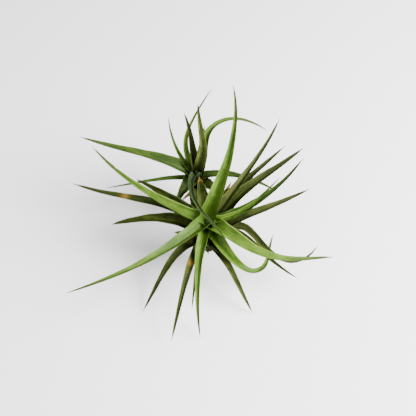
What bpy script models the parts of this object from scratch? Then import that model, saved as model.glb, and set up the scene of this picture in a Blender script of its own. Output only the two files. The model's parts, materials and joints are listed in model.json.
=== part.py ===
"""Air plant: two leafy rosettes and a small side shoot, resting on the runner and the lowest leaf tips.

Every leaf is one solid: a folded channel section carried along a curved midrib that grows out of a stem.
Metres, +Z up.
"""
import math
from collections import namedtuple

import bpy
import numpy as np
from mathutils import Vector

MM = 0.001
NAME = "air_plant"

# ---- stems -------------------------------------------------------------------------------------------------
# (radius, height) down the main stem's outside, from its domed top to the butt where it broke off
MAIN_STEM_PROFILE = ((0, 47), (2.0, 46.4), (3.2, 44), (4.2, 36), (4.8, 27), (4.5, 21), (3.4, 16), (0, 16))
MAIN_STEM_SIDES = 16
# centre points (x, y, z) of the runner: it dips to the table, lies back along it, then turns up into the pup
PUP_STEM_POINTS = ((-2.15, 4.65, 20.5), (-2.6, 9.2, 18.4), (-1.5, 15.5, 11.5), (0.5, 23, 5.2), (-1, 33, 4.2),
                   (-5.5, 42.5, 8), (-8.2, 49.5, 17.5), (-8.5, 53, 29), (-8, 54, 41))
PUP_STEM_RADII = (2.4, 2.8, 3.2, 3.6, 3.8, 3.8, 3.8, 3.4, 2.2)
# centre points of the short side shoot between the two rosettes
BUD_STEM_POINTS = ((-2.25, 4.7, 27), (-3.2, 9.5, 27.5), (-3, 13, 30.5), (-2.5, 15.5, 36))
BUD_STEM_RADII = (1.6, 2.0, 2.0, 1.4)
SIDE_STEMS = {"pup": (PUP_STEM_POINTS, PUP_STEM_RADII), "bud": (BUD_STEM_POINTS, BUD_STEM_RADII)}
SIDE_STEM_STATIONS = 16        # centre points along each side stem
STEM_TO_ORIGIN = (5, -8)       # from the origin, under the middle of the plant's spread, to the main stem

# ---- leaves ------------------------------------------------------------------------------------------------
STATIONS = 12                  # cross-sections along one leaf
STEPS = 120                    # short straight steps that the midrib is grown in
BASE_SHARE = 0.50              # width where a leaf leaves its stem, as a share of its widest
BASE_RUN = 0.12                # share of the length over which it opens to its full width
TIP_SHARE = 0.05               # width left at the tip
TAPER_POWER = 0.6              # how fast the width falls towards the tip
BELLY_LENGTH = 0.42            # share of the length over which a leaf keeps its broad base
TAPER_PEAK = 0.92              # brings the widest station to the leaf's stated width
BASE_SEAT = 0.5 * MM           # from the stem's side to the middle of a leaf's base
# folded channel, as (across, up) for a half width of one: two edges, the valley between them, the keel below
CHANNEL = ((-1.0, 0.42), (0.0, 0.06), (1.0, 0.42), (0.5, 0.0), (0.0, -0.2), (-0.5, 0.0))

BRIGHT = (0.20, 0.33, 0.045)
OLIVE = (0.10, 0.13, 0.030)
DARK = (0.035, 0.055, 0.012)
GREY_GREEN = (0.12, 0.19, 0.075)
TAN = (0.30, 0.19, 0.09)
BARK = (0.09, 0.06, 0.035)

# bearings are compass headings of the midrib in degrees (0 along +X, 90 along +Y) and rises its slope above
# level, both at even steps from base to tip; height, length and width are in millimetres
Leaf = namedtuple("Leaf", "name stem height bearings rises length width fullness colour")
LEAVES = (
    # young leaves of the main rosette
    Leaf("main_leaf_01", "main", 46, (58, 70, 104), (52, 46, 40), 101, 12, 0.48, BRIGHT),
    Leaf("main_leaf_02", "main", 44, (163, 153, 140), (14, 20, 32), 100, 9.5, 0.60, BRIGHT),
    Leaf("main_leaf_03", "main", 45, (-127, -152, -167), (10, -6, -10), 117, 10.5, 0.50, BRIGHT),
    Leaf("main_leaf_04", "main", 42, (-104, -93, -79), (6, -34, -54), 85, 8, 0.55, BRIGHT),
    Leaf("main_leaf_05", "main", 43, (-42, -35, -13, 8, 6), (15, -8, -10, -6, 2), 98, 12, 0.60, BRIGHT),
    Leaf("main_leaf_06", "main", 45, (2, 22, 34), (5, 34, 38), 62, 6, 0.60, BRIGHT),
    Leaf("main_leaf_07", "main", 41, (6, 24, 40), (22, 29, 44), 85, 9.5, 0.60, BRIGHT),
    Leaf("main_leaf_08", "main", 39, (-62, -56, -45, -32, 0, 50, 78, 76, 74),
         (5, -14, -26, -28, -22, -8, 4, 8, 8), 88, 8, 0.60, BRIGHT),
    # older leaves below them
    Leaf("outer_leaf_01", "main", 36, (162, 162, 162, 161, 160), (50, 12, -4, -3, 9), 107, 9, 0.85, OLIVE),
    Leaf("outer_leaf_02", "main", 26, (168, 170, 174, 176), (60, 8, -14, -20), 74, 12, 0.80, DARK),
    Leaf("outer_leaf_03", "main", 19, (-146, -136, -132, -129, -127),
         (62, 12, -35, -41, -34), 79, 8, 0.75, OLIVE),
    Leaf("outer_leaf_04", "main", 22, (-112, -106, -108), (60, -20, -44), 94, 7.5, 0.75, OLIVE),
    Leaf("outer_leaf_05", "main", 17, (-112, -99, -98), (60, -20, -45), 60, 4.5, 0.75, DARK),
    Leaf("outer_leaf_06", "main", 24, (-70, -58, -50, -42), (50, -10, -48, -51), 71, 7.5, 0.80, OLIVE),
    Leaf("outer_leaf_07", "main", 32, (-10, -28, -36, -30, -18), (45, 2, -22, -24, -22), 76, 6, 0.75, DARK),
    Leaf("outer_leaf_08", "main", 20, (24, 14, -42, -44, -24, 30, 56),
         (50, 15, -12, -14, -4, 6, 10), 98, 8, 0.65, OLIVE),
    Leaf("outer_leaf_09", "main", 27, (8, 18, 22), (50, 12, 20), 81, 8.5, 0.80, OLIVE),
    Leaf("outer_leaf_10", "main", 29, (40, 38, 42), (60, 10, 7), 99, 12, 0.75, DARK),
    Leaf("outer_leaf_11", "main", 24, (54, 48, 48), (62, 9, 2), 96, 9, 0.75, DARK),
    Leaf("outer_leaf_12", "main", 39, (49, 51, 58), (34, 22, 38), 95, 7.5, 0.75, OLIVE),
    Leaf("outer_leaf_13", "main", 31, (146, 146, 146), (58, 11, 3), 66, 10, 0.75, DARK),
    Leaf("outer_leaf_14", "main", 22, (60, 68, 60), (60, 30, 15), 46, 6, 0.75, OLIVE),
    # leaves of the pup
    Leaf("pup_leaf_01", "pup", 35, (172, 169, 167), (38, 10, 15), 93, 12, 0.65, BRIGHT),
    Leaf("pup_leaf_02", "pup", 33, (185, 186, 187), (10, -6, -5), 68, 4.5, 0.75, BRIGHT),
    Leaf("pup_leaf_03", "pup", 37, (152, 120, 96), (35, 40, 40), 49, 5, 0.60, BRIGHT),
    Leaf("pup_leaf_04", "pup", 38, (140, 101, 56, 44, 42), (48, 46, 46, 46, 44), 72, 5, 0.60, BRIGHT),
    Leaf("pup_leaf_05", "pup", 39, (113, 109, 126), (76, 62, 58), 49, 7, 0.80, OLIVE),
    Leaf("pup_leaf_06", "pup", 39, (38, 101, 97), (84, 62, 56), 57, 7.5, 0.80, OLIVE),
    Leaf("pup_leaf_07", "pup", 36, (56, 84, 72), (66, 62, 58), 40, 5, 0.70, OLIVE),
    Leaf("pup_leaf_08", "pup", 35, (64, 76, 30, -4, -12), (52, 46, 18, -12, -34), 84, 9, 0.55, BRIGHT),
    Leaf("pup_leaf_09", "pup", 34, (5, 0, -4), (16, -20, -36), 64, 7, 0.80, DARK),
    Leaf("pup_leaf_10", "pup", 34, (-124, -124, -120), (20, -10, -25), 25, 13, 0.80, DARK),
    Leaf("pup_leaf_11", "pup", 37, (-96, -100, -79, -50, -48),
         (70, 30, 8, -12, -22), 98, 6, 0.75, GREY_GREEN),
    Leaf("pup_leaf_12", "pup", 28, (-78, -54, -48), (12, -20, -34), 30, 8.5, 0.80, DARK),
    Leaf("pup_leaf_13", "pup", 30, (-36, -30, -24), (14, -12, -26), 28, 8.5, 0.80, DARK),
    # leaves of the side shoot
    Leaf("bud_leaf_01", "bud", 34, (100, 110, 109), (70, 72, 75), 33, 11, 1.0, OLIVE),
    Leaf("bud_leaf_02", "bud", 31, (20, 80, 98), (60, 70, 75), 34, 4.5, 0.80, DARK),
    Leaf("bud_leaf_03", "bud", 30, (-14, 56, 90), (50, 68, 72), 32, 4, 0.80, DARK),
    Leaf("bud_leaf_04", "bud", 32, (196, 124, 92), (60, 66, 72), 31, 4, 0.80, DARK),
    # dried stubs of leaves long gone
    Leaf("dried_leaf_01", "main", 17, (165, 168, 172), (45, 22, 0), 24, 6.5, 0.85, TAN),
    Leaf("dried_leaf_02", "main", 19, (-32, -28, -24), (40, 20, 0), 14, 5, 0.85, TAN),
    Leaf("dried_leaf_03", "pup", 22, (-116, -120, -124), (50, 30, 10), 22, 5, 0.85, TAN),
)


def through(values, places):
    """A smooth curve through evenly spaced values, read at places from 0 (first value) to 1 (last value)."""
    known = np.array(values, dtype=float)
    last = len(known) - 1
    scaled = np.asarray(places) * last
    left = np.clip(scaled.astype(int), 0, last - 1)
    part = scaled - left
    before = np.where(left > 0, known[np.maximum(left - 1, 0)], 2 * known[0] - known[1])
    after = np.where(left < last - 1, known[np.minimum(left + 2, last)], 2 * known[-1] - known[-2])
    here, there = known[left], known[left + 1]
    return 0.5 * (2 * here + (there - before) * part
                  + (2 * before - 5 * here + 4 * there - after) * part ** 2
                  + (3 * here - before - 3 * there + after) * part ** 3)


def stem_at(stem, height):
    """The centre and radius, in metres, of a stem at a height in millimetres."""
    if stem == "main":
        sides = [point for point in MAIN_STEM_PROFILE if point[0] > 0]
        sides.sort(key=lambda point: point[1])
        radius = np.interp(height, [up for _, up in sides], [out for out, _ in sides])
        return np.array((0.0, 0.0, height)) * MM, radius * MM
    points, radii = SIDE_STEMS[stem]
    lowest = min(range(len(points)), key=lambda index: points[index][2])
    rising = np.array(points[lowest:], dtype=float)
    centre = [np.interp(height, rising[:, 2], rising[:, axis]) for axis in range(3)]
    return np.array(centre) * MM, np.interp(height, rising[:, 2], radii[lowest:]) * MM


def midrib(leaf):
    """Points along the leaf's midrib: short steps that change smoothly in heading and slope to the tip."""
    middles = (np.arange(STEPS) + 0.5) / STEPS
    heading = np.radians(through(leaf.bearings, middles))
    slope = np.radians(through(leaf.rises, middles))
    level = np.cos(slope)
    steps = np.stack((np.cos(heading) * level, np.sin(heading) * level, np.sin(slope)), axis=1)
    centre, radius = stem_at(leaf.stem, leaf.height)
    out = math.radians(leaf.bearings[0])
    start = centre + np.array((math.cos(out), math.sin(out), 0)) * (radius + BASE_SEAT)
    path = np.vstack((start, start + np.cumsum(steps * leaf.length * MM / STEPS, axis=0)))
    return path[np.linspace(0, STEPS, STATIONS).round().astype(int)]


def half_widths(leaf):
    """Half the leaf's width at each station: it opens over the base, then thins to a long fine tip."""
    along = np.linspace(0, 1, STATIONS)
    taper = (1 - along) ** TAPER_POWER
    belly = leaf.fullness + (1 - leaf.fullness) * np.exp(-(along / BELLY_LENGTH) ** 2)
    opening = BASE_SHARE + (1 - BASE_SHARE) * np.clip(along / BASE_RUN, 0, 1)
    return np.maximum(taper * belly * opening / TAPER_PEAK, TIP_SHARE) * leaf.width * MM / 2


def material(name, colour, roughness):
    """A plain finish of its own for one piece."""
    finish = bpy.data.materials.new(name)
    finish.use_nodes = True
    shader = finish.node_tree.nodes["Principled BSDF"]
    shader.inputs["Base Color"].default_value = (*colour, 1)
    shader.inputs["Roughness"].default_value = roughness
    shader.inputs["Metallic"].default_value = 0
    return finish


def place(name, data, collection, finish):
    """Put one piece into its collection, with its finish."""
    piece = bpy.data.objects.new(name, data)
    collection.objects.link(piece)
    data.materials.append(finish)
    return piece


def channel_section(guides):
    """The folded section that every leaf carries: a closed curve with a half width of one metre."""
    outline = bpy.data.curves.new("leaf_section", "CURVE")
    outline.dimensions = "3D"
    spline = outline.splines.new("POLY")
    spline.points.add(len(CHANNEL) - 1)
    for point, (across, up) in zip(spline.points, CHANNEL):
        point.co = (across, up, 0, 1)
    spline.use_cyclic_u = True
    section = bpy.data.objects.new("leaf_section", outline)
    guides.objects.link(section)
    section.hide_render = True
    section.display_type = "WIRE"
    return section


def build_leaf(leaf, section, collection):
    """One leaf: the folded section carried along the midrib, upright to it, and scaled to the width."""
    curve = bpy.data.curves.new(leaf.name, "CURVE")
    curve.dimensions = "3D"
    curve.twist_mode = "Z_UP"
    curve.bevel_mode = "OBJECT"
    curve.bevel_object = section
    curve.use_fill_caps = True
    spline = curve.splines.new("POLY")
    spline.points.add(STATIONS - 1)
    for point, place_on_path, half_width in zip(spline.points, midrib(leaf), half_widths(leaf)):
        point.co = (*place_on_path, 1)
        point.radius = half_width
    spline.use_smooth = True
    return place(leaf.name, curve, collection, material(leaf.name, leaf.colour, 0.45))


def build_main_stem(collection):
    """The upright stem: a profile turned about the vertical, domed above and flat below."""
    mesh = bpy.data.meshes.new("main_stem")
    points = [(out * MM, 0, up * MM) for out, up in MAIN_STEM_PROFILE]
    edges = [(index, index + 1) for index in range(len(points) - 1)]
    mesh.from_pydata(points, edges, [])
    stem = place("main_stem", mesh, collection, material("main_stem", BARK, 0.85))
    turn = stem.modifiers.new("Turned", "SCREW")
    turn.steps = MAIN_STEM_SIDES
    turn.render_steps = MAIN_STEM_SIDES
    turn.use_merge_vertices = True
    turn.merge_threshold = 0.00001
    turn.use_smooth_shade = True
    return stem


def build_side_stem(name, points, radii, collection):
    """A side stem: a round tube of changing radius through its centre points, with closed ends."""
    curve = bpy.data.curves.new(name, "CURVE")
    curve.dimensions = "3D"
    curve.bevel_depth = MM
    curve.bevel_resolution = 2
    curve.use_fill_caps = True
    spline = curve.splines.new("POLY")
    places = np.linspace(0, 1, SIDE_STEM_STATIONS)
    axes = [through([point[axis] for point in points], places) for axis in range(3)]
    spline.points.add(SIDE_STEM_STATIONS - 1)
    for point, x, y, z, radius in zip(spline.points, *axes, through(radii, places)):
        point.co = (x * MM, y * MM, z * MM, 1)
        point.radius = radius
    spline.use_smooth = True
    return place(name, curve, collection, material(name, BARK, 0.85))


def build():
    for piece in list(bpy.data.objects):
        bpy.data.objects.remove(piece, do_unlink=True)
    plant = bpy.data.collections.new(NAME)
    guides = bpy.data.collections.new(NAME + "_guides")
    bpy.context.scene.collection.children.link(plant)
    bpy.context.scene.collection.children.link(guides)
    pieces = [build_main_stem(plant)]
    for stem, (points, radii) in SIDE_STEMS.items():
        pieces.append(build_side_stem(stem + "_stem", points, radii, plant))
    section = channel_section(guides)
    for leaf in LEAVES:
        pieces.append(build_leaf(leaf, section, plant))
    root = bpy.data.objects.new(NAME, None)
    root.location = (STEM_TO_ORIGIN[0] * MM, STEM_TO_ORIGIN[1] * MM, 0)
    plant.objects.link(root)
    for piece in pieces:
        piece.parent = root


build()
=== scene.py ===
import json
import math
import bpy
import numpy as np
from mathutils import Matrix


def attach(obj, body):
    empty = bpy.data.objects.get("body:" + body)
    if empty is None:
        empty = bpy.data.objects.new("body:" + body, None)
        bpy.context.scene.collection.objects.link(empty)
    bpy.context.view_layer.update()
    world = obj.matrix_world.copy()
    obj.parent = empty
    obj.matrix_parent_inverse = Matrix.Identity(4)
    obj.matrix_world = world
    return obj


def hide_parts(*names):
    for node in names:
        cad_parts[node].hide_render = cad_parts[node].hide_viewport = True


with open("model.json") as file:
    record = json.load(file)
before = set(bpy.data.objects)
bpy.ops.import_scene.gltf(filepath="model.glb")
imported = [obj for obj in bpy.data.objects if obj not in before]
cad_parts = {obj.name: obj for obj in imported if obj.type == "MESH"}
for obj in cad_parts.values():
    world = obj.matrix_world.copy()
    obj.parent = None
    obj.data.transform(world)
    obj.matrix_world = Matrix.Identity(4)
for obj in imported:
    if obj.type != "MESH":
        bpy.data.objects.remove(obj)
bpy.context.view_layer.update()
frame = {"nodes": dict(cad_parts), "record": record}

# ---------------------------------------------------------------- sizes, in metres unless said otherwise

MM = 0.001

# Leaves. A place along a leaf is 0 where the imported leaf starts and 1 at its tip.
PACKED_CORNERS = 6             # corners of each section of a packed leaf
PACKED_RISE = 0.42             # its edges stand this share of its half width above its middle
PACKED_BASE = 0.50             # a packed leaf is this share of its width where it starts,
PACKED_BASE_RUN = 0.12         # and has its full width from this place on
BLADE_ROWS = 110               # rows along a drawn blade
ACROSS = 19                    # points over the top of a leaf, edge to edge
EDGE_THICKNESS = 0.12 * MM
MOST_THICKNESS = 0.35          # no leaf is thicker than this share of its half width
THINNING = 0.7                 # how sharply a leaf thins from its midrib to its edges; 1 is a parabola
VALLEY_ROUND = 0.006           # how softly the two halves of a leaf meet in its valley
ROLL = 0.25                    # angle that half a leaf curves through, in radians,
ROLL_AT_BASE = 0.85            # and how much more it is where the leaf is rolled round its stem
ROLLED_RUN = 0.10              # the roll and the flatter fold of the base fade out over this stretch
ROLL_LIFT = 0.8                # share of the rolled edge's true rise that is drawn
MIDRIB_DROP = 0.04             # the valley lies this share of the half width below the leaf's line
FLATTER_AT_BASE = 0.45         # share of its fold that a leaf lacks at its base
NARROWER_AT_BASE = 0.10        # share of its width that the roll takes up
FOLD_WANDER = 0.12             # share by which the fold deepens and flattens along a leaf
TURN = math.radians(6)         # how far a blade turns either way about its line,
TURN_STRETCH = (0.1, 0.4)      # growing from nothing to that over this stretch
WAVE = 0.05                    # height of the waves in the edges, as a share of the half width
WAVE_ANGLE = 29                # angle that the waves run through along a leaf, in radians,
WAVE_LEAD = 2.0                # and how far one edge is ahead of the middle, and the other behind
TIP_CLOSING = 0.45             # share of its width that a drawn tip loses
TIP_CLOSING_FROM = 0.93        # over the stretch from this place on

# Sheaths, the parts of the leaves that clasp the stems.
SHEATH_ROWS = 14               # rows along a sheath
SHEATH_FOOT = -0.08            # place given to its foot, below the start of the blade
SHEATH_DEPTH_IN = 0.7          # its foot lies this share of the stem's radius from the stem's centre line
SHEATH_CLIMB = 0.75            # shares of its length that it runs along the stem
SHEATH_LEAN = 0.45             # and along the blade as it turns from one into the other
SHEATH_UP = 0.2                # how far its inner face leans up the stem

# Stems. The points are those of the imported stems, in millimetres, base to top.
MAIN_STEM_PLACE = (5, -8)      # where the main stem stands; the points below are measured from here
STEM_AXES = {                  # centre line of each stem
    "main": ((0, 0, 16), (0, 0, 31.5), (0, 0, 47)),
    "pup": ((-2.15, 4.65, 20.5), (-2.6, 9.2, 18.4), (-1.5, 15.5, 11.5), (0.5, 23, 5.2), (-1, 33, 4.2),
            (-5.5, 42.5, 8), (-8.2, 49.5, 17.5), (-8.5, 53, 29), (-8, 54, 41)),
    "bud": ((-2.25, 4.7, 27), (-3.2, 9.5, 27.5), (-3, 13, 30.5), (-2.5, 15.5, 36)),
}
STEM_RADII = {                 # radius at each of those points
    "pup": (2.4, 2.8, 3.2, 3.6, 3.8, 3.8, 3.8, 3.4, 2.2),
    "bud": (1.6, 2.0, 2.0, 1.4),
}
MAIN_STEM_PROFILE = (          # height and radius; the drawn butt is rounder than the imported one
    (16, 0.8), (18, 1.9), (20.5, 3.4), (24, 4.5), (27, 4.8), (36, 4.2), (44, 3.2), (46.4, 2.0), (47, 0.6),
)
STEM_ROWS, STEM_RING = 160, 40                # rows along a drawn stem, and points round it
NEARNESS_ROWS = 200                           # points of a stem's line that are tried for the nearest
SCARS = {"main": 26, "pup": 18, "bud": 18}    # turns of the spiral of leaf scars along each stem
SPIRAL_STARTS = 2                             # spirals that climb side by side
SCAR_HEIGHT = 0.18 * MM
FURROWS = 9                                   # shallow furrows round a stem,
FURROW_SWAY = 5                               # shifted by up to this angle, in radians,
FURROW_WAVES = 17                             # as a sine that runs through this angle along the stem
FURROW_DEPTH = 0.05 * MM
SMOOTH_FOOT, SMOOTH_TOP = (0, 0.01), (1.0, 0.97)    # stretches over which ridges and furrows fade in and out
BARK_INSET = 0.22 * MM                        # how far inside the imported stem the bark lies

# Markings of a leaf, and painted shade in its valley, at its base and on its underside. Each pair of numbers
# is where a marking or a painted shade begins and where it is full.
STREAKS = (0.68, 1.02)         # on the streak pattern, from light to dark
BLOTCH_SHARE = 0.7             # how much the blotches count in that pattern beside the veins
VALLEY, VALLEY_SHADE_SHARE = (0.16, 0.0), 0.55    # painted shade in the valley; across, from 0 at the valley to 1 at the edges
MARGIN, MARGIN_SHARE = (0.82, 0.95), 0.7    # across as well
BASE, CORE_SHADE_SHARE = (0.19, -0.02), 0.88      # painted shade of the core at the base; along the leaf
# share of the painted shade on the underside of a leaf
UNDER_SHADE_SHARE = 0.7
TIP_SHARE = 0.9
TONES_AND_SHADE = (0.4, 1.6)             # brightness of a leaf of tone 0 and of tone 1; the tone is partly the leaf's own and partly painted shade and painted light

# Surfaces.
SCALE_COLOUR = (0.19, 0.22, 0.15)
SCALES_PER_METRE = 2400
SCALE_PATCHES = 130            # soft patches of scales in a metre
SAP_WEIGHT = 0.08              # share of the light that spreads in a leaf,
SAP_DEPTH = 1 * MM             # how far it goes,
SAP_TINT = (0.6, 1.0, 0.2)     # and the share of that for red, green and blue
VEIN_RELIEF = 0.12 * MM        # depth of the relief on the leaves
BARK_RELIEF = 0.3 * MM         # and on the bark
BARK_GRAIN = 420               # grains in a metre
BARK_GLOSS = 0.12


# ---------------------------------------------------------------- smooth curves and surfaces

def smooth(values, places):
    """Catmull-Rom through evenly spaced rows of values, read at places from 0 to 1."""
    known = np.asarray(values, float)
    flat = known.reshape(len(known), -1)
    padded = np.vstack((2 * flat[0] - flat[1], flat, 2 * flat[-1] - flat[-2]))
    scaled = np.clip(places, 0, 1) * (len(flat) - 1)
    left = np.minimum(scaled.astype(int), len(flat) - 2)
    part = (scaled - left)[:, None]
    a, b, c, d = (padded[left + shift] for shift in range(4))
    out = 0.5 * (2 * b + (c - a) * part + (2 * a - 5 * b + 4 * c - d) * part ** 2
                 + (3 * b - a - 3 * c + d) * part ** 3)
    return out.reshape((len(out),) + known.shape[1:])


def unit(rows):
    """Each row divided by its length."""
    return rows / np.maximum(np.linalg.norm(rows, axis=-1, keepdims=True), 1e-12)


def ease(low, high, x):
    """0 on low's side, 1 on high's side and a smooth step between them."""
    part = np.clip((np.asarray(x, float) - low) / (high - low), 0, 1)
    return part * part * (3 - 2 * part)


def wander(places, seed, waves):
    """A smooth wavering line between about -1 and 1, the same for the same seed."""
    knots = np.random.default_rng(seed).uniform(-1, 1, waves + 2)
    return smooth(knots[:, None], places)[:, 0]


def bells(t, marks):
    """The sum of bell curves along a leaf, each given by its place, its spread and its height."""
    total = np.zeros_like(t)
    for place, spread, height in marks:
        total = total + height * np.exp(-((t - place) / spread) ** 2)
    return total


def closed_mesh(name, grid, attributes):
    """A closed surface from rows of rings: quads between neighbouring rings, and at each end a fan on the end
    ring's middle point. Each attribute is a number, or an array that spreads over the rows and rings."""
    rows, ring = grid.shape[:2]
    vertices = np.vstack((grid.reshape(-1, 3), grid[0].mean(0), grid[-1].mean(0)))
    row, column = np.meshgrid(np.arange(rows - 1), np.arange(ring), indexing="ij")
    beside = (column + 1) % ring
    quads = np.stack((row * ring + column, row * ring + beside,
                      (row + 1) * ring + beside, (row + 1) * ring + column), axis=-1).reshape(-1, 4)
    around = np.arange(ring)
    onward = (around + 1) % ring
    first = np.stack((onward, around, np.full(ring, rows * ring)), axis=1)
    last_row = (rows - 1) * ring
    last = np.stack((last_row + around, last_row + onward, np.full(ring, rows * ring + 1)), axis=1)
    corners = np.concatenate((quads.ravel(), first.ravel(), last.ravel())).astype(np.int32)
    sizes = np.concatenate((np.full(len(quads), 4), np.full(2 * ring, 3))).astype(np.int32)
    starts = np.concatenate(((0,), np.cumsum(sizes)[:-1])).astype(np.int32)
    mesh = bpy.data.meshes.new(name)
    mesh.vertices.add(len(vertices))
    mesh.vertices.foreach_set("co", vertices.astype(np.float32).ravel())
    mesh.loops.add(len(corners))
    mesh.loops.foreach_set("vertex_index", corners)
    mesh.polygons.add(len(sizes))
    mesh.polygons.foreach_set("loop_start", starts)
    mesh.polygons.foreach_set("use_smooth", np.ones(len(sizes), bool))
    mesh.update(calc_edges=True)
    mesh.validate()
    for label, values in attributes.items():
        flat = np.broadcast_to(values, (rows, ring))
        data = np.concatenate((flat.ravel(), (flat[0].mean(), flat[-1].mean())))
        mesh.attributes.new(label, "FLOAT", "POINT").data.foreach_set("value", data.astype(np.float32))
    return mesh


def finish_piece(name, mesh, node, finish):
    """Makes the mesh a piece with its material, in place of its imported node."""
    piece = bpy.data.objects.new(name, mesh)
    bpy.context.scene.collection.objects.link(piece)
    mesh.materials.append(finish)
    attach(piece, "root")
    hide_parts(node)


# ---------------------------------------------------------------- stems

def stem_line(stem, rows):
    """A stem's centre line and radius, read smoothly at evenly spaced places from its base to its top."""
    places = np.linspace(0, 1, rows)
    line = smooth((np.array(STEM_AXES[stem], float) + (*MAIN_STEM_PLACE, 0)) * MM, places)
    if stem == "main":
        heights, widths = np.array(MAIN_STEM_PROFILE, float).T * MM
        return line, np.interp(line[:, 2], heights, widths)
    return line, smooth(np.array(STEM_RADII[stem], float)[:, None] * MM, places)[:, 0]


def stem_near(stem, point):
    """The point of a stem's centre line nearest to a point, with the stem's direction and radius there."""
    line, radii = stem_line(stem, NEARNESS_ROWS)
    nearest = np.linalg.norm(line - point, axis=1).argmin()
    ahead = unit(np.gradient(line, axis=0))[nearest]
    return line[nearest], ahead, radii[nearest]


def build_stem(node, stem, finish):
    """A round stem carried along its centre line. Its radius is the stem's own less the bark's inset, plus a
    saw-tooth that climbs the stem as a spiral, where old leaves came away, and shallow furrows along it. The
    saw-tooth and the furrows fade out at the ends."""
    places = np.linspace(0, 1, STEM_ROWS)
    line, radii = stem_line(stem, STEM_ROWS)
    tangent = unit(np.gradient(line, axis=0))
    helper = np.array((0.0, 1.0, 0.0)) if stem == "main" else np.array((1.0, 0.0, 0.0))
    side = unit(np.cross(tangent, helper))
    up = np.cross(side, tangent)
    angle = np.linspace(0, 2 * np.pi, STEM_RING, endpoint=False)[None, :]
    spiral = places[:, None] * SCARS[stem] + angle / (2 * np.pi) * SPIRAL_STARTS
    step = spiral % 1.0
    furrows = np.sin(angle * FURROWS + FURROW_SWAY * np.sin(places[:, None] * FURROW_WAVES))
    ridges = SCAR_HEIGHT * (1 - step) ** 2 + FURROW_DEPTH * furrows
    ends = ease(*SMOOTH_FOOT, places)
    if stem != "main":
        ends = ends * ease(*SMOOTH_TOP, places)
    radius = radii[:, None] - BARK_INSET + ridges * ends[:, None]
    grid = (line[:, None] + side[:, None] * (np.cos(angle) * radius)[..., None]
            + up[:, None] * (np.sin(angle) * radius)[..., None])
    attributes = {"along": places[:, None], "step": step}
    finish_piece(node + "_look", closed_mesh(node, grid, attributes), node, finish)


# ---------------------------------------------------------------- leaves

def packed_sections(node):
    """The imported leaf's sections from base to tip: centre, upward direction and half width of each.
    The section at the tip is the smallest, and each next one is the ring of corners joined to it."""
    mesh = frame["nodes"][node].data
    corners = np.empty(len(mesh.vertices) * 3, np.float32)
    mesh.vertices.foreach_get("co", corners)
    rounded = np.round(corners.reshape(-1, 3).astype(float), 6)
    points, which = np.unique(rounded, axis=0, return_inverse=True)
    loops = np.empty(len(mesh.loops), np.int32)
    mesh.loops.foreach_get("vertex_index", loops)
    triangles = which.ravel()[loops].reshape(-1, 3)
    joined = np.zeros((len(points), len(points)), bool)
    for one, other in ((0, 1), (1, 2), (2, 0)):
        joined[triangles[:, one], triangles[:, other]] = True
        joined[triangles[:, other], triangles[:, one]] = True
    apart = np.linalg.norm(points[:, None] - points[None], axis=-1)
    lengths = np.where(joined, apart, np.inf)
    start = np.unravel_index(lengths.argmin(), lengths.shape)[0]
    ring = np.argsort(apart[start])[:PACKED_CORNERS]
    seen = np.zeros(len(points), bool)
    rings = []
    while len(ring):
        if len(ring) != PACKED_CORNERS:
            raise ValueError(f"{node} has a section of {len(ring)} corners")
        seen[ring] = True
        rings.append(points[ring])
        ring = np.flatnonzero(joined[ring].any(0) & ~seen)
    measured = [measure_section(section) for section in rings[::-1]]
    return tuple(np.array(column) for column in zip(*measured))


def measure_section(section):
    """Centre, upward direction and half width of one packed section. Its edges are the two corners farthest
    apart. Two more corners lie over each other halfway between them, at its midrib, and the one farther from
    the line between the edges gives the way down."""
    spans = np.linalg.norm(section[:, None] - section[None], axis=-1)
    left, right = np.unravel_index(spans.argmax(), spans.shape)
    half = spans[left, right] / 2
    middle = (section[left] + section[right]) / 2
    side = unit(section[right] - section[left])
    offset = np.abs((section - middle) @ side)
    offset[[left, right]] = np.inf
    midrib = section[np.argsort(offset)[:2]]
    drops = np.linalg.norm(midrib - middle, axis=1)
    up = unit(middle - midrib[drops.argmax()])
    return middle - up * half * PACKED_RISE, up, half


def leaf_frames(node, stem, look):
    """Place, centre, side, up and half width along the drawn leaf: a sheath that climbs the stem and turns
    out into the blade along a cubic curve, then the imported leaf's own smooth line to the tip. The half width
    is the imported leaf's with its narrow base opened out."""
    centres, ups, halves = packed_sections(node)
    places = np.linspace(0, 1, BLADE_ROWS)
    path = smooth(centres, places)
    blade_up = smooth(ups, places)
    half = smooth(halves[:, None], places)[:, 0]
    base = path[0]
    ahead = unit(path[1] - path[0])
    axis_point, stem_way, radius = stem_near(stem, base)
    out = base - axis_point
    out = unit(out - stem_way * (out @ stem_way))
    depth = look["sheath"] * MM
    foot = axis_point + out * radius * SHEATH_DEPTH_IN - stem_way * depth
    first = foot + stem_way * depth * SHEATH_CLIMB
    second = base - ahead * depth * SHEATH_LEAN
    bend = np.linspace(0, 1, SHEATH_ROWS, endpoint=False)[:, None]
    lead = ((1 - bend) ** 3 * foot + 3 * (1 - bend) ** 2 * bend * first
            + 3 * (1 - bend) * bend ** 2 * second + bend ** 3 * base)
    inward = unit(-out + stem_way * SHEATH_UP)
    lead_up = unit(inward * (1 - bend) + blade_up[0] * bend)
    path = np.vstack((lead, path))
    up = np.vstack((lead_up, blade_up))
    t = np.concatenate((np.linspace(SHEATH_FOOT, 0, SHEATH_ROWS, endpoint=False), places))
    half = half / (PACKED_BASE + (1 - PACKED_BASE) * np.clip(places / PACKED_BASE_RUN, 0, 1))
    half = np.concatenate((np.full(SHEATH_ROWS, half[0]), half))
    tangent = unit(np.gradient(path, axis=0))
    side = unit(np.cross(tangent, up))
    up = unit(np.cross(side, tangent))
    return t, path, side, up, half


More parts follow.
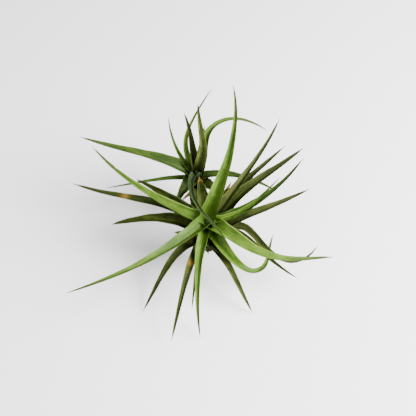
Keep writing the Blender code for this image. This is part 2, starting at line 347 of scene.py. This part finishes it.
def build_leaf(node, stem, look, finish):
    """A leaf carried along its line. Across the leaf, u runs from -1 at one edge to 1 at the other: the blade
    rises from a rounded valley at u = 0 to both edges, is thick at its midrib and thin at its edges, is
    rolled round the stem at its base and closes to a narrow channel towards its tip. Its edges wave, and it
    turns a little about its line."""
    t, path, side, up, half = leaf_frames(node, stem, look)
    seed = sum(ord(letter) * (place + 3) for place, letter in enumerate(node))
    blade = np.clip(t, 0, 1)
    near_base = np.exp(-(np.maximum(t, 0) / ROLLED_RUN) ** 2)
    half = half * look["wide"] * (1 - TIP_CLOSING * ease(TIP_CLOSING_FROM, 1.0, blade))
    half = half * (1 - bells(t, look["pinch"]))
    turn = (TURN * wander(blade, seed + 1, 5) * ease(*TURN_STRETCH, blade))[:, None]
    side, up = side * np.cos(turn) + up * np.sin(turn), up * np.cos(turn) - side * np.sin(turn)

    over = np.linspace(-1, 1, ACROSS)
    u = np.concatenate((over, over[-2:0:-1]))[None, :]
    below = np.concatenate((np.zeros(ACROSS), np.ones(ACROSS - 2)))[None, :]
    fold = look["fold"] * (1 + FOLD_WANDER * wander(blade, seed + 2, 4))
    fold = fold * (1 - FLATTER_AT_BASE * near_base)
    roll = (ROLL + ROLL_AT_BASE * near_base)[:, None]
    reach = np.sin(roll * u) / np.sin(roll) * (1 - NARROWER_AT_BASE * near_base)[:, None]
    valley = (np.sqrt(u ** 2 + VALLEY_ROUND) - math.sqrt(VALLEY_ROUND)) / (
        math.sqrt(1 + VALLEY_ROUND) - math.sqrt(VALLEY_ROUND))
    rise = fold[:, None] * valley + (1 - np.cos(roll * u)) / roll * ROLL_LIFT - MIDRIB_DROP
    thick = np.minimum(look["thick"] * MM, MOST_THICKNESS * half)[:, None] * (1 - u ** 2) ** THINNING
    skin = EDGE_THICKNESS * np.sqrt(1 - u ** 2)
    lift = rise * half[:, None] - below * (thick + skin)
    waving = np.sin(t[:, None] * WAVE_ANGLE + seed + WAVE_LEAD * np.sign(u))
    wave = WAVE * half[:, None] * np.abs(u) ** 3 * waving
    grid = (path[:, None] + side[:, None] * (reach * half[:, None])[..., None]
            + up[:, None] * (lift + wave)[..., None])

    fine, slanting = wander(blade, seed + 3, 30)[:, None], wander(blade, seed + 4, 12)[:, None]
    ragged = 0.8 + 0.3 * fine + 0.2 * u * slanting
    attributes = {
        "along": t[:, None],
        "across": u,
        "below": below,
        "dry": np.clip(bells(t, look["dry"])[:, None] * ragged, 0, 1),
        "tip": ease(look["tip_from"], 1.0, blade)[:, None],
        "tone_and_shade": look["tone_and_shade"],
        "hue": look["hue"],
        "seed": seed % 97 / 9.7,   # shifts the vein pattern by 0 to 10, so that leaves differ
    }
    finish_piece(node + "_look", closed_mesh(node, grid, attributes), node, finish)


# ---------------------------------------------------------------- material helpers

def group(name, takes, gives):
    """A shared effect with named inputs and outputs, each with its kind."""
    tree = bpy.data.node_groups.new(name, "ShaderNodeTree")
    for label, kind in takes.items():
        tree.interface.new_socket(label, in_out="INPUT", socket_type="NodeSocket" + kind)
    for label, kind in gives.items():
        tree.interface.new_socket(label, in_out="OUTPUT", socket_type="NodeSocket" + kind)
    return tree, tree.nodes.new("NodeGroupInput"), tree.nodes.new("NodeGroupOutput")


def placed(tree, effect, **takes):
    """Puts a shared effect in a material with its inputs, and gives its outputs."""
    node = tree.nodes.new("ShaderNodeGroup")
    node.node_tree = effect
    for label, value in takes.items():
        feed(tree, node.inputs[label], value)
    return node.outputs


def feed(tree, socket, value):
    """Connects an output, or sets a plain value."""
    if isinstance(value, bpy.types.NodeSocket):
        tree.links.new(value, socket)
    elif value is not None:
        socket.default_value = value


def sums(tree, operation, one, other=None, third=None):
    """One step of arithmetic."""
    node = tree.nodes.new("ShaderNodeMath")
    node.operation = operation
    for socket, value in zip(node.inputs, (one, other, third)):
        feed(tree, socket, value)
    return node.outputs[0]


def span(tree, value, low, high, to_low=0.0, to_high=1.0):
    """A smooth step from to_low, where value is low, to to_high, where it is high."""
    node = tree.nodes.new("ShaderNodeMapRange")
    node.interpolation_type = "SMOOTHSTEP"
    for socket, item in zip(node.inputs, (value, low, high, to_low, to_high)):
        feed(tree, socket, item)
    return node.outputs[0]


def mix(tree, share, one, other):
    """One colour turned into the other by a share."""
    node = tree.nodes.new("ShaderNodeMix")
    node.data_type = "RGBA"
    feed(tree, node.inputs[0], share)
    feed(tree, node.inputs[6], (*one, 1) if isinstance(one, tuple) else one)
    feed(tree, node.inputs[7], (*other, 1) if isinstance(other, tuple) else other)
    return node.outputs[2]


def read(tree, label):
    """The piece's own attribute of that name."""
    node = tree.nodes.new("ShaderNodeAttribute")
    node.attribute_name = label
    return node.outputs["Fac"]


def noise(tree, vector, scale, detail=3.0, rough=0.55):
    """Cloudy noise, about 0.2 to 0.8."""
    node = tree.nodes.new("ShaderNodeTexNoise")
    feed(tree, node.inputs["Vector"], vector)
    node.inputs["Scale"].default_value = scale
    node.inputs["Detail"].default_value = detail
    node.inputs["Roughness"].default_value = rough
    return node.outputs["Fac"]


def join(tree, x, y, z):
    """A vector of three numbers."""
    node = tree.nodes.new("ShaderNodeCombineXYZ")
    for socket, value in zip(node.inputs, (x, y, z)):
        feed(tree, socket, value)
    return node.outputs[0]


def bumped(tree, height, strength, distance):
    """The surface's normal as the height leans it."""
    node = tree.nodes.new("ShaderNodeBump")
    node.inputs["Strength"].default_value = strength
    node.inputs["Distance"].default_value = distance
    feed(tree, node.inputs["Height"], height)
    return node.outputs["Normal"]


# ---------------------------------------------------------------- effects that the leaves share

def veins_group():
    """Fine veins: noise drawn out along a leaf. Blotches: broader noise. Height: the fine noise and close
    ridges, a sine across the leaf."""
    tree, ins, outs = group("long_veins", {"Along": "Float", "Across": "Float", "Seed": "Float"},
                            {"Veins": "Float", "Blotches": "Float", "Height": "Float"})
    along, across, seed = ins.outputs["Along"], ins.outputs["Across"], ins.outputs["Seed"]

    def drawn_out(along_scale, across_scale, detail, rough):
        place = join(tree, sums(tree, "MULTIPLY", along, along_scale),
                     sums(tree, "MULTIPLY", across, across_scale), seed)
        return noise(tree, place, 1.0, detail, rough)

    fine = drawn_out(2.5, 4.2, 4.0, 0.7)
    broad = drawn_out(9.0, 1.2, 3.0, 0.55)
    ridges = sums(tree, "SINE", sums(tree, "MULTIPLY", across, 44.0))
    feed(tree, outs.inputs["Veins"], fine)
    feed(tree, outs.inputs["Blotches"], broad)
    feed(tree, outs.inputs["Height"], sums(tree, "ADD", sums(tree, "MULTIPLY", ridges, 0.3), fine))
    return tree


def scales_group():
    """The fine silvery scales on a leaf: tiny specks, thicker in soft patches."""
    tree, ins, outs = group("silver_scales", {"Amount": "Float"}, {"Cover": "Float"})
    place = tree.nodes.new("ShaderNodeTexCoord").outputs["Object"]
    specks = tree.nodes.new("ShaderNodeTexVoronoi")
    feed(tree, specks.inputs["Vector"], place)
    specks.inputs["Scale"].default_value = SCALES_PER_METRE
    dots = span(tree, specks.outputs["Distance"], 0.45, 0.10)
    patches = span(tree, noise(tree, place, SCALE_PATCHES), 0.35, 0.7)
    cover = sums(tree, "MULTIPLY", sums(tree, "MULTIPLY", dots, patches), ins.outputs["Amount"])
    feed(tree, outs.inputs["Cover"], cover)
    return tree


def ageing_group():
    """Dead tissue: yellow where it begins, orange-brown further in and pale straw where it is quite dry."""
    tree, ins, outs = group("dead_tissue", {"Dry": "Float", "Veins": "Float"},
                            {"Color": "Color", "Share": "Float"})
    veined = sums(tree, "SUBTRACT", ins.outputs["Veins"], 0.5)
    amount = sums(tree, "MULTIPLY_ADD", veined, 0.5, ins.outputs["Dry"])
    ramp = tree.nodes.new("ShaderNodeValToRGB")
    feed(tree, ramp.inputs["Fac"], amount)
    stops = ((0.15, (0.060, 0.065, 0.008)), (0.40, (0.095, 0.062, 0.005)),
             (0.62, (0.160, 0.115, 0.018)), (0.95, (0.34, 0.245, 0.10)))
    for index, (position, colour) in enumerate(stops):
        stop = ramp.color_ramp.elements[index] if index < 2 else ramp.color_ramp.elements.new(position)
        stop.position, stop.color = position, (*colour, 1)
    feed(tree, outs.inputs["Color"], ramp.outputs["Color"])
    feed(tree, outs.inputs["Share"], span(tree, amount, 0.10, 0.45))
    return tree


VEINS = veins_group()
SCALES = scales_group()
AGEING = ageing_group()

# ---------------------------------------------------------------- materials

LEAF_FINISHES = {              # each kind of leaf: its colours, roughness (dull) and specular level (gloss); its base colour is painted shade of the core and its colour under is painted shade on the underside
    "bright_leaf": {
        "light": (0.100, 0.172, 0.018), "dark": (0.030, 0.073, 0.003), "margin": (0.155, 0.225, 0.045),
        "base": (0.030, 0.074, 0.002), "under_shade": (0.022, 0.046, 0.003), "tip": (0.040, 0.052, 0.014),
        "scales": 0.10, "dull": 0.42, "gloss": 0.12,
    },
    "olive_leaf": {
        "light": (0.054, 0.064, 0.013), "dark": (0.015, 0.023, 0.003), "margin": (0.095, 0.115, 0.030),
        "base": (0.008, 0.013, 0.001), "under_shade": (0.014, 0.018, 0.003), "tip": (0.036, 0.029, 0.014),
        "scales": 0.07, "dull": 0.50, "gloss": 0.06,
    },
    "dark_leaf": {
        "light": (0.032, 0.042, 0.006), "dark": (0.008, 0.014, 0.001), "margin": (0.080, 0.100, 0.024),
        "base": (0.005, 0.008, 0.001), "under_shade": (0.010, 0.012, 0.002), "tip": (0.028, 0.021, 0.010),
        "scales": 0.02, "dull": 0.52, "gloss": 0.05,
    },
    "grey_leaf": {
        "light": (0.032, 0.049, 0.013), "dark": (0.010, 0.021, 0.004), "margin": (0.065, 0.090, 0.034),
        "base": (0.010, 0.021, 0.003), "under_shade": (0.011, 0.022, 0.005), "tip": (0.028, 0.040, 0.020),
        "scales": 0.14, "dull": 0.46, "gloss": 0.10,
    },
    "dry_leaf": {
        "light": (0.075, 0.050, 0.014), "dark": (0.026, 0.018, 0.005), "margin": (0.12, 0.085, 0.035),
        "base": (0.014, 0.010, 0.003), "under_shade": (0.035, 0.024, 0.009), "tip": (0.13, 0.10, 0.05),
        "scales": 0.10, "dull": 0.6, "gloss": 0.05,
    },
}
BARK_DARK, BARK_LIGHT = (0.009, 0.007, 0.003), (0.028, 0.021, 0.009)
BARK_SCAR = (0.050, 0.038, 0.018)
BARK_TOP = (0.014, 0.028, 0.003)


def leaf_material(name, light, dark, margin, base, under_shade, tip, scales, dull, gloss):
    """A leaf: light and dark streaks along it, painted shade in its valley, a thin pale margin, painted shade
    at its base, where it goes into the core, and on its underside, silvery scales, a dry tip, and dead tissue
    where it has aged."""
    finish = bpy.data.materials.new(name)
    finish.use_nodes = True
    tree = finish.node_tree
    shader = tree.nodes["Principled BSDF"]
    along, across = read(tree, "along"), read(tree, "across")
    veins = placed(tree, VEINS, Along=along, Across=across, Seed=read(tree, "seed"))
    aged = placed(tree, AGEING, Dry=read(tree, "dry"), Veins=veins["Veins"])
    cover = placed(tree, SCALES, Amount=scales)["Cover"]

    from_valley = sums(tree, "ABSOLUTE", across)
    pattern = sums(tree, "MULTIPLY_ADD", veins["Blotches"], BLOTCH_SHARE, veins["Veins"])
    colour = mix(tree, span(tree, pattern, *STREAKS), light, dark)
    # painted shade along the valley, where the two halves of the leaf meet
    colour = mix(tree, span(tree, from_valley, *VALLEY, to_high=VALLEY_SHADE_SHARE), colour, dark)
    colour = mix(tree, span(tree, from_valley, *MARGIN, to_high=MARGIN_SHARE), colour, margin)
    # painted shade at the base, where the leaf goes down into the crowded core
    colour = mix(tree, span(tree, along, *BASE, to_high=CORE_SHADE_SHARE), colour, base)
    # painted shade on the underside, darker than the top
    colour = mix(tree, sums(tree, "MULTIPLY", read(tree, "below"), UNDER_SHADE_SHARE), colour, under_shade)
    toned = tree.nodes.new("ShaderNodeHueSaturation")
    feed(tree, toned.inputs["Color"], colour)
    feed(tree, toned.inputs["Hue"], read(tree, "hue"))
    # brightness by the leaf's tone, partly its own and partly painted shade and painted light
    feed(tree, toned.inputs["Value"], span(tree, read(tree, "tone_and_shade"), 0.0, 1.0, *TONES_AND_SHADE))
    colour = mix(tree, cover, toned.outputs["Color"], SCALE_COLOUR)
    colour = mix(tree, sums(tree, "MULTIPLY", read(tree, "tip"), TIP_SHARE), colour, tip)
    colour = mix(tree, aged["Share"], colour, aged["Color"])
    feed(tree, shader.inputs["Base Color"], colour)

    rough = sums(tree, "MULTIPLY_ADD", veins["Veins"], 0.2, dull)
    feed(tree, shader.inputs["Roughness"], sums(tree, "MULTIPLY_ADD", aged["Share"], 0.25, rough))
    feed(tree, shader.inputs["Normal"], bumped(tree, veins["Height"], 0.4, VEIN_RELIEF))
    shader.inputs["Specular IOR Level"].default_value = gloss
    shader.inputs["Subsurface Weight"].default_value = SAP_WEIGHT
    shader.inputs["Subsurface Radius"].default_value = SAP_TINT
    shader.inputs["Subsurface Scale"].default_value = SAP_DEPTH
    return finish


def stem_material():
    """Bark with the pale papery edges of old leaf bases, green towards the top."""
    finish = bpy.data.materials.new("stem_bark")
    finish.use_nodes = True
    tree = finish.node_tree
    shader = tree.nodes["Principled BSDF"]
    place = tree.nodes.new("ShaderNodeTexCoord").outputs["Object"]
    grain = noise(tree, place, BARK_GRAIN, 5.0, 0.65)
    colour = mix(tree, span(tree, grain, 0.3, 0.7), BARK_DARK, BARK_LIGHT)
    colour = mix(tree, span(tree, read(tree, "step"), 0.14, 0.0, to_high=0.75), colour, BARK_SCAR)
    colour = mix(tree, span(tree, read(tree, "along"), 0.62, 0.92), colour, BARK_TOP)
    feed(tree, shader.inputs["Base Color"], colour)
    feed(tree, shader.inputs["Roughness"], span(tree, grain, 0.2, 0.8, 0.7, 0.92))
    feed(tree, shader.inputs["Normal"], bumped(tree, grain, 0.6, BARK_RELIEF))
    shader.inputs["Specular IOR Level"].default_value = BARK_GLOSS
    return finish


FINISHES = {name: leaf_material(name, **values) for name, values in LEAF_FINISHES.items()}
BARK = stem_material()

# ---------------------------------------------------------------- the plant

SLOT_OF = {entry["node"]: entry["material_slot"] for entry in frame["record"]["subparts"]}
STEM_OF = {"main": "main", "outer": "main", "dried": "main", "pup": "pup", "bud": "bud"}
STEM_OF_ONE = {"dried_leaf_03": "pup"}

# Fold is the rise from valley to edge as a share of the half width, thick and sheath are in millimetres, and
# tip_from is the place where the dry tip begins.
PLAIN = {
    "bright_leaf": {"fold": 0.72, "thick": 0.9, "sheath": 5, "tip_from": 0.55},
    "olive_leaf": {"fold": 0.64, "thick": 0.8, "sheath": 6, "tip_from": 0.72},
    "dark_leaf": {"fold": 0.62, "thick": 0.8, "sheath": 6, "tip_from": 0.85},
    "grey_leaf": {"fold": 0.62, "thick": 0.7, "sheath": 5, "tip_from": 0.9},
    "dry_leaf": {"fold": 0.60, "thick": 0.6, "sheath": 4, "tip_from": 0.5},
}

# Wide is the drawn width over the imported one. Tone runs from 0, dark, to 1, light: partly each leaf's own
# tone, partly painted shade on leaves that others shade and painted light on leaves that the lamps leave in
# shade. A hue of 0.5 leaves the colour as it is, and more turns it from yellow towards blue. Each dry patch
# and each pinch in the edges has its place, its spread along the leaf and its strength.
UNMARKED = {"wide": 1.08, "tone_and_shade": 0.5, "hue": 0.5, "dry": (), "pinch": ()}
OWN = {
    "main_leaf_01": {"fold": 0.82},
    "main_leaf_02": {"pinch": ((0.76, 0.012, 0.25),)},
    "main_leaf_03": {"tone_and_shade": 0.45, "fold": 0.95},
    "main_leaf_04": {"fold": 0.85},
    "main_leaf_07": {"tone_and_shade": 0.15, "hue": 0.52},
    "main_leaf_08": {"dry": ((0.69, 0.025, 0.30),), "tone_and_shade": 0.70, "wide": 1.25},
    "outer_leaf_01": {"dry": ((0.61, 0.045, 0.85),), "hue": 0.52},
    "outer_leaf_02": {"dry": ((1.0, 0.03, 0.7),), "tone_and_shade": 1.0, "wide": 1.2},
    "outer_leaf_04": {"dry": ((0.36, 0.035, 0.42), (0.44, 0.06, 0.22), (0.94, 0.12, 0.35))},
    "outer_leaf_06": {"dry": ((0.36, 0.02, 0.3),)},
    "outer_leaf_07": {"wide": 1.25},
    "outer_leaf_08": {"tone_and_shade": 0.4},
    "outer_leaf_09": {"tone_and_shade": 0.42, "wide": 1.25},
    "outer_leaf_13": {"wide": 1.3},
    "outer_leaf_14": {"dry": ((0.95, 0.20, 1.0),), "wide": 1.6},
    "pup_leaf_01": {"tone_and_shade": 0.20},
    "pup_leaf_02": {"tone_and_shade": 0.30, "hue": 0.505},
    "pup_leaf_05": {"dry": ((1.0, 0.10, 0.55),), "tone_and_shade": 0.3},
    "pup_leaf_06": {"tone_and_shade": 0.95, "wide": 1.15},
    "pup_leaf_07": {"tone_and_shade": 0.6},
    "pup_leaf_08": {"tone_and_shade": 0.4},
    "pup_leaf_09": {"tone_and_shade": 0.7, "hue": 0.525},
    "pup_leaf_10": {"hue": 0.525},
    "pup_leaf_12": {"hue": 0.52, "wide": 1.35},
    "pup_leaf_13": {"hue": 0.52, "wide": 1.35},
    "bud_leaf_01": {"dry": ((1.0, 0.16, 1.3),), "tone_and_shade": 1.0, "hue": 0.515, "wide": 1.2},
    "bud_leaf_02": {"wide": 1.6},
    "bud_leaf_03": {"wide": 1.6},
    "bud_leaf_04": {"wide": 1.6},
    "dried_leaf_01": {"tone_and_shade": 0.7, "wide": 1.5},
}

for node in sorted(frame["nodes"]):
    kind = node.split("_")[0]
    if node.endswith("_stem"):
        build_stem(node, kind, BARK)
        continue
    look = UNMARKED | PLAIN[SLOT_OF[node]] | OWN.get(node, {})
    build_leaf(node, STEM_OF_ONE.get(node, STEM_OF[kind]), look, FINISHES[SLOT_OF[node]])

# ---------------------------------------------------------------- floor, light and camera

FLOOR_REACH = 6
FLOOR_COLOUR = (0.93, 0.93, 0.93, 1)
FLOOR_ROUGHNESS = 0.9
SKY_STRENGTH = 0.57
LAMPS_FACE = np.array((0, 0, 0.05))
CAMERA_TARGET = np.array((0.0054, 0.002, 0.049))
CAMERA_DISTANCE = 0.8
CAMERA_HEIGHT = math.radians(50)    # the camera's angle above the floor
SENSOR_WIDTH, LENS = 36, 93.5       # in millimetres
NEAREST_SEEN = 0.01

floor_mesh = bpy.data.meshes.new("floor")
floor_corners = [(x * FLOOR_REACH, y * FLOOR_REACH, 0) for x, y in ((-1, -1), (1, -1), (1, 1), (-1, 1))]
floor_mesh.from_pydata(floor_corners, [], [(0, 1, 2, 3)])
floor = bpy.data.objects.new("floor", floor_mesh)
bpy.context.scene.collection.objects.link(floor)
pale = bpy.data.materials.new("pale_floor")
pale.use_nodes = True
pale.node_tree.nodes["Principled BSDF"].inputs["Base Color"].default_value = FLOOR_COLOUR
pale.node_tree.nodes["Principled BSDF"].inputs["Roughness"].default_value = FLOOR_ROUGHNESS
floor_mesh.materials.append(pale)

world = bpy.data.worlds.new("studio")
bpy.context.scene.world = world
world.use_nodes = True
world.node_tree.nodes["Background"].inputs["Color"].default_value = (1.0, 1.0, 1.0, 1)
world.node_tree.nodes["Background"].inputs["Strength"].default_value = SKY_STRENGTH


def aim(way):
    """Rotation that turns -Z along a direction."""
    flat = math.hypot(way[0], way[1])
    return (math.atan2(flat, -way[2]), 0.0, math.atan2(-way[0], way[1]))


def lamp(name, place, size, power):
    """A round soft lamp of a given size across, turned towards the plant."""
    data = bpy.data.lights.new(name, "AREA")
    data.shape = "DISK"
    data.size = size
    data.energy = power
    item = bpy.data.objects.new(name, data)
    item.location = place
    item.rotation_euler = aim(LAMPS_FACE - np.array(place))
    bpy.context.scene.collection.objects.link(item)


lamp("key", place=(0.80, -0.20, 0.66), size=0.85, power=65.0)
lamp("fill", place=(-0.7, -0.6, 0.8), size=0.6, power=7.0)

camera = bpy.data.objects.new("camera", bpy.data.cameras.new("camera"))
bpy.context.scene.collection.objects.link(camera)
camera.data.sensor_width = SENSOR_WIDTH
camera.data.lens = LENS
camera.data.clip_start = NEAREST_SEEN
back = np.array((0, -math.cos(CAMERA_HEIGHT), math.sin(CAMERA_HEIGHT)))
camera.location = CAMERA_TARGET + CAMERA_DISTANCE * back
camera.rotation_euler = aim(-back)
bpy.context.scene.camera = camera
